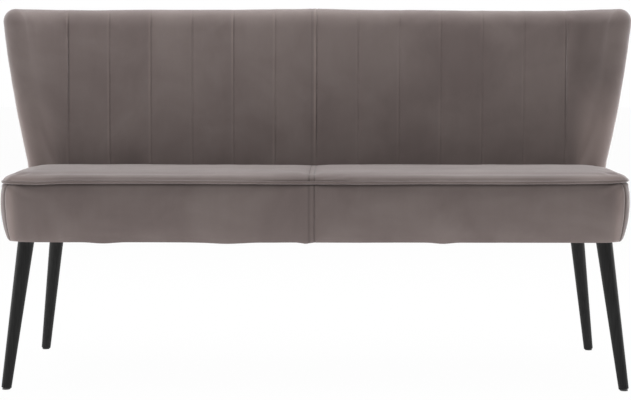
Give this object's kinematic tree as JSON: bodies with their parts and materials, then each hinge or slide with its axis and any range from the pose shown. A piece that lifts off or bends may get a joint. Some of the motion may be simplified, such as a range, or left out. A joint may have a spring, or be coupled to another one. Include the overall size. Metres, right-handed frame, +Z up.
{
  "type": "dining sofa",
  "caption": "Upholstered dining sofa with a boxed, piped seat, a channelled back whose ends turn forward as wings, and splayed tapered legs.",
  "frame": {"origin": "on the floor, under the middle of the overall bounding box", "axes": "+Z up; -Y is the front, where a person sits down; +X is to the right seen from the front"},
  "size_m": [1.6062, 0.6466, 0.8795],
  "materials": {
    "velvet": "short pile velvet, taupe, soft sheen",
    "foam": "cut polyurethane foam",
    "felt": "needle felt",
    "dust_cloth": "black spunbonded cloth",
    "webbing": "woven elastic webbing",
    "liner_board": "smooth hardboard",
    "timber": "planed beech and bent plywood",
    "black_wood": "black satin lacquer on turned beech",
    "steel": "bright zinc plated",
    "glide_plastic": "matte black plastic"
  },
  "bodies": {
    "root": {"seat_front_rail": "timber", "seat_rear_rail": "timber", "seat_side_rail_left": "timber", "seat_side_rail_right": "timber", "seat_cross_rails": "timber", "leg_block_front_left": "timber", "leg_block_front_right": "timber", "leg_block_rear_left": "timber", "leg_block_rear_right": "timber", "seat_springs": "steel", "spring_clips": "steel", "insulator_felt": "felt", "seat_foam": "foam", "seat_cover_left": "velvet", "seat_cover_right": "velvet", "border_front_left": "velvet", "border_front_right": "velvet", "border_side_left": "velvet", "border_side_right": "velvet", "border_rear": "velvet", "seat_piping": "velvet", "dust_cover": "dust_cloth", "back_plinth": "timber", "back_lower_rail": "timber", "back_top_rail": "timber", "back_posts": "timber", "wing_shell_left": "timber", "wing_shell_right": "timber", "back_webbing": "webbing", "back_foam": "foam", "edge_roll_left": "foam", "edge_roll_right": "foam", "back_cover_left": "velvet", "back_cover_right": "velvet", "back_liner": "liner_board", "outer_cover_left": "velvet", "outer_cover_right": "velvet", "back_bolts": "steel", "back_washers": "steel", "back_nuts": "steel", "frame_screws": "steel", "leg_front_left": "black_wood", "leg_front_right": "black_wood", "leg_rear_left": "black_wood", "leg_rear_right": "black_wood", "leg_plate_front_left": "steel", "leg_plate_front_right": "steel", "leg_plate_rear_left": "steel", "leg_plate_rear_right": "steel", "hanger_bolts": "steel", "plate_screws": "steel", "glide_front_left": "glide_plastic", "glide_front_right": "glide_plastic", "glide_rear_left": "glide_plastic", "glide_rear_right": "glide_plastic"}
  },
  "joints": []
}
